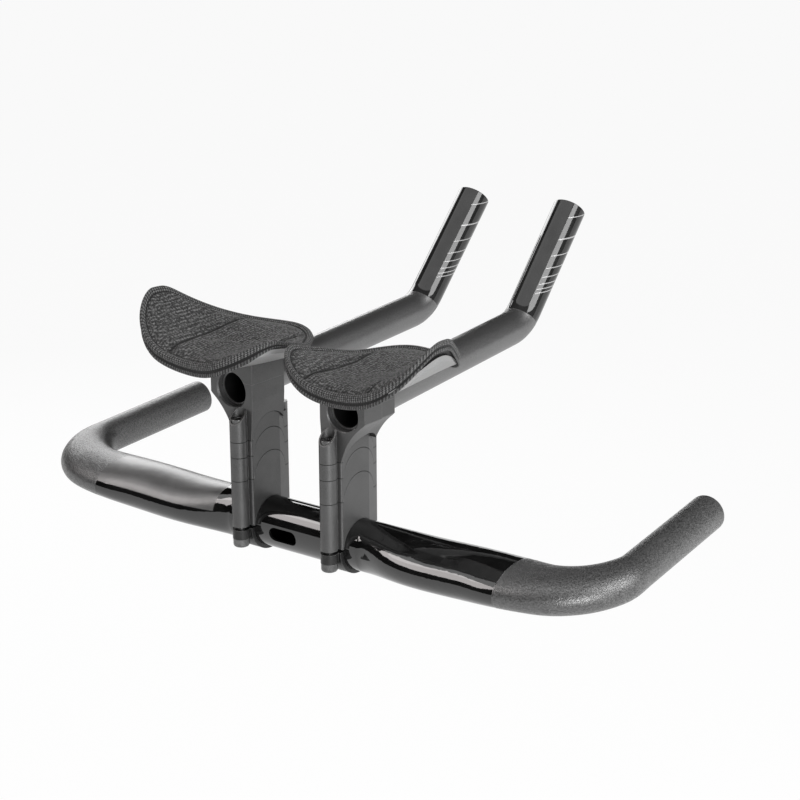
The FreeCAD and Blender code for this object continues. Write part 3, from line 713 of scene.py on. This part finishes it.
def swell(pad, held):
    """Puffs the fabric with a little air while the held vertices stay, then caps how far it moved."""
    start = [vertex.co.copy() for vertex in pad.data.vertices]
    pins = pad.vertex_groups.new(name="sewn")
    pins.add(held, 1.0, "REPLACE")
    cloth = pad.modifiers.new("air", "CLOTH")
    cloth.settings.use_pressure = True
    cloth.settings.uniform_pressure_force = air_pressure
    cloth.settings.vertex_group_mass = "sewn"
    cloth.settings.effector_weights.gravity = 0.0
    cloth.settings.quality = cloth_quality
    cloth.point_cache.frame_start = 1
    cloth.point_cache.frame_end = air_frames
    for step in range(1, air_frames + 1):
        scene.frame_set(step)
    blown = pad.evaluated_get(bpy.context.evaluated_depsgraph_get())
    moved = [vertex.co.copy() for vertex in blown.data.vertices]
    pad.modifiers.remove(cloth)
    scene.frame_set(1)
    for vertex, before, after in zip(pad.data.vertices, start, moved):
        shift = after - before
        if shift.length > swell_cap:
            shift = shift * (swell_cap / shift.length)
        vertex.co = before + shift
    pad.vertex_groups.remove(pins)


def subdivided(pad):
    """One smooth subdivision, applied to the mesh."""
    smooth = pad.modifiers.new("smooth", "SUBSURF")
    smooth.levels = 1
    smooth.render_levels = 1
    finished = bpy.data.meshes.new_from_object(pad.evaluated_get(bpy.context.evaluated_depsgraph_get()))
    pad.modifiers.remove(smooth)
    pad.data = finished


def sew_channels(pad, floor):
    """Presses the two sewn channels into the top."""
    for vertex in pad.data.vertices:
        place = vertex.co
        if vertex.normal.z < top_facing or place.z < floor(place.x, place.y):
            continue
        for x, start, end in channel_places:
            across = (place.x - x) / channel_width
            ends = min(place.y - start, end - place.y) / channel_fade
            fade = max(0.0, min(1.0, ends))
            vertex.co.z -= channel_depth * fade * math.exp(-across * across)


def make_pads(finish):
    form = PadForm(nodes["right_arm_pad"])
    shape = spun_blank()
    write_blank_map(shape)
    for vertex in shape.verts:
        vertex.co = form.drape(vertex.co)
    mesh = mesh_from(shape, "right_pad")
    pad = link_object("right_pad", mesh)
    swell(pad, held_vertices(mesh))
    subdivided(pad)
    sew_channels(pad, lambda x, y: (form.top(x, y) or 1.0) - channel_reach)
    twin = link_object("left_pad", mirrored_mesh(pad.data))
    for piece, node in ((pad, "right_arm_pad"), (twin, "left_arm_pad")):
        piece.data.polygons.foreach_set("use_smooth", [True] * len(piece.data.polygons))
        piece.data.materials.clear()
        piece.data.materials.append(finish)
        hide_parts(node)
        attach(piece, "root")


def held_vertices(mesh):
    """Vertices of the seam beside the rim, and of all from the recess below the rim to the underside."""
    held = []
    layer = mesh.uv_layers[0].data
    shares = {}
    for loop in mesh.loops:
        shares[loop.vertex_index] = layer[loop.index].uv.y * ring_count
    for index, share in shares.items():
        if abs(share - seam_ring) < 0.5 or share > recess_ring - 0.5:
            held.append(index)
    return held


def mirrored_mesh(source):
    shape = bmesh.new()
    shape.from_mesh(source)
    bmesh.ops.scale(shape, vec=(-1, 1, 1), verts=shape.verts)
    bmesh.ops.recalc_face_normals(shape, faces=shape.faces)
    return mesh_from(shape, "left_pad")


# Finishes on the CAD nodes

def dress_nodes():
    anodised = make_anodised("anodised_grey", 0.062, 0.10)
    strap = make_anodised("anodised_black", 0.012, 0.03)
    steel = make_steel()
    tray = make_tray_plastic()
    napped = make_hook_and_loop()
    lacquer = make_lacquer()
    finishes = {"base_bar": lacquer}
    for side in ("left", "right"):
        finishes[side + "_extension"] = make_extension_finish(side)
        finishes[side + "_arm_cup"] = tray
        finishes[side + "_lower_clamp"] = strap
        finishes[side + "_pad_patches"] = napped
        for piece in ("clamp_nuts", "riser_bolts", "cup_bolts"):
            finishes[side + "_" + piece] = steel
    for name, node in nodes.items():
        if name.endswith("_arm_pad"):
            continue
        node.data.materials.clear()
        node.data.materials.append(finishes.get(name, anodised))


# Floor, lamps and camera

floor_height = -0.36
floor_radius = 30.0
floor_glow = 0.94                # share of its own white in the floor that the background shows
canopy_radius = 9.0
canopy_edge = 0.45               # height of the canopy's lower edge
camera_turn = math.radians(36.78)
camera_rise = math.radians(17.16)
camera_tilt = math.radians(0.3)  # about the part's Y axis
camera_place = Vector((0.69624, -0.83539, 0.41870))
camera_lens = 84.68              # millimetres, on a sensor of the next width
camera_sensor = 36.0


def background_share(tree):
    """1 for rays that show the background: from the camera, from gloss and through glass."""
    rays = add_node(tree, "ShaderNodeLightPath").outputs
    seen = calc(tree, "MAXIMUM", rays["Is Camera Ray"], rays["Is Glossy Ray"])
    return calc(tree, "MAXIMUM", seen, rays["Is Transmission Ray"])


def make_floor():
    shape = bmesh.new()
    bmesh.ops.create_circle(shape, cap_ends=True, segments=96, radius=floor_radius)
    bmesh.ops.translate(shape, vec=(0, 0, floor_height), verts=shape.verts)
    mesh = mesh_from(shape, "studio_floor")
    floor = link_object("studio_floor", mesh)
    material, tree = bare_material("studio_floor")
    place = add_node(tree, "ShaderNodeTexCoord").outputs["Object"]
    grain = place_group(tree, grain_group, Place=place, Size=2 * MM, Spread=0.4)
    paint = mixed(tree, grain["Cloud"], grey(0.88), grey(0.90))
    matt = add_node(tree, "ShaderNodeBsdfDiffuse", {"Color": paint})
    glow = add_node(tree, "ShaderNodeEmission", {"Color": grey(1.0), "Strength": 1.0})
    share = calc(tree, "MULTIPLY", background_share(tree), floor_glow)
    blend = add_node(tree, "ShaderNodeMixShader", {0: share, 1: matt.outputs[0], 2: glow.outputs[0]})
    output = add_node(tree, "ShaderNodeOutputMaterial")
    tree.links.new(blend.outputs[0], output.inputs["Surface"])
    mesh.materials.append(material)


def make_dark_canopy():
    """Dark cloth over the set, which only the gloss of the lacquer mirrors."""
    shape = bmesh.new()
    bmesh.ops.create_uvsphere(shape, u_segments=48, v_segments=24, radius=canopy_radius)
    bmesh.ops.bisect_plane(shape, geom=shape.verts[:] + shape.edges[:] + shape.faces[:],
                           plane_co=(0, 0, canopy_edge), plane_no=(0, 0, 1), clear_inner=True)
    mesh = mesh_from(shape, "dark_canopy")
    canopy = link_object("dark_canopy", mesh)
    material, tree = bare_material("dark_canopy")
    place = add_node(tree, "ShaderNodeTexCoord").outputs["Object"]
    grain = place_group(tree, grain_group, Place=place, Size=0.02, Spread=1.5)
    cloth = mixed(tree, grain["Cloud"], grey(0.02), grey(0.03))
    matt = add_node(tree, "ShaderNodeBsdfDiffuse", {"Color": cloth})
    output = add_node(tree, "ShaderNodeOutputMaterial")
    tree.links.new(matt.outputs[0], output.inputs["Surface"])
    mesh.materials.append(material)
    canopy.visible_camera = False
    canopy.visible_diffuse = False
    canopy.visible_shadow = False
    canopy.visible_transmission = False


def make_world():
    world = bpy.data.worlds.new("studio")
    scene.world = world
    world.use_nodes = True
    tree = world.node_tree
    tree.nodes.clear()
    dim = add_node(tree, "ShaderNodeBackground", {"Color": grey(1.0), "Strength": 0.12})
    white = add_node(tree, "ShaderNodeBackground", {"Color": grey(1.0), "Strength": 1.0})
    share = background_share(tree)
    blend = add_node(tree, "ShaderNodeMixShader", {0: share, 1: dim.outputs[0], 2: white.outputs[0]})
    output = add_node(tree, "ShaderNodeOutputWorld")
    tree.links.new(blend.outputs[0], output.inputs["Surface"])


def softbox(name, place, aim, width, height, power, colour=(1.0, 1.0, 1.0)):
    lamp = bpy.data.lights.new(name, "AREA")
    lamp.shape = "RECTANGLE"
    lamp.size = width
    lamp.size_y = height
    lamp.energy = power
    lamp.color = colour
    holder = link_object(name, lamp)
    holder.location = place
    holder.rotation_euler = (Vector(aim) - Vector(place)).to_track_quat("-Z", "Y").to_euler()


def make_lamps():
    softbox("back_left_box", (-0.53, -0.46, 0.58), (0.03, 0.0, 0.0), 0.46, 0.36, 2.6, (1.0, 0.95, 0.94))
    softbox("right_box", (1.04, 0.20, 0.62), (0.04, 0.18, 0.12), 0.6, 0.75, 11.0)
    softbox("low_right_box", (1.10, -0.72, 0.14), (0.15, 0.0, 0.0), 0.40, 0.40, 11.0)
    softbox("left_front_box", (-1.20, 0.85, 0.50), (-0.2, 0.0, 0.0), 0.8, 0.6, 7.0)
    softbox("ceiling_box", (0.05, -0.40, 1.45), (0.05, 0.1, 0.0), 3.2, 0.8, 11.0)


def make_camera():
    level = math.cos(camera_rise)
    back = Vector((level * math.sin(camera_turn), -level * math.cos(camera_turn), math.sin(camera_rise)))
    right = Vector((math.cos(camera_turn), math.sin(camera_turn), 0))
    up = back.cross(right)
    matrix = Matrix((right, up, back)).transposed().to_4x4()
    matrix.translation = camera_place
    lens = bpy.data.cameras.new("photo_camera")
    lens.lens = camera_lens
    lens.sensor_width = camera_sensor
    lens.clip_start = 0.02
    lens.clip_end = 100.0
    camera = link_object("photo_camera", lens)
    camera.matrix_world = Matrix.Rotation(camera_tilt, 4, "Y") @ matrix
    scene.camera = camera


make_camera()
dress_nodes()
make_pads(make_knit())
make_floor()
make_dark_canopy()
make_world()
make_lamps()
scene.view_settings.view_transform = "Standard"
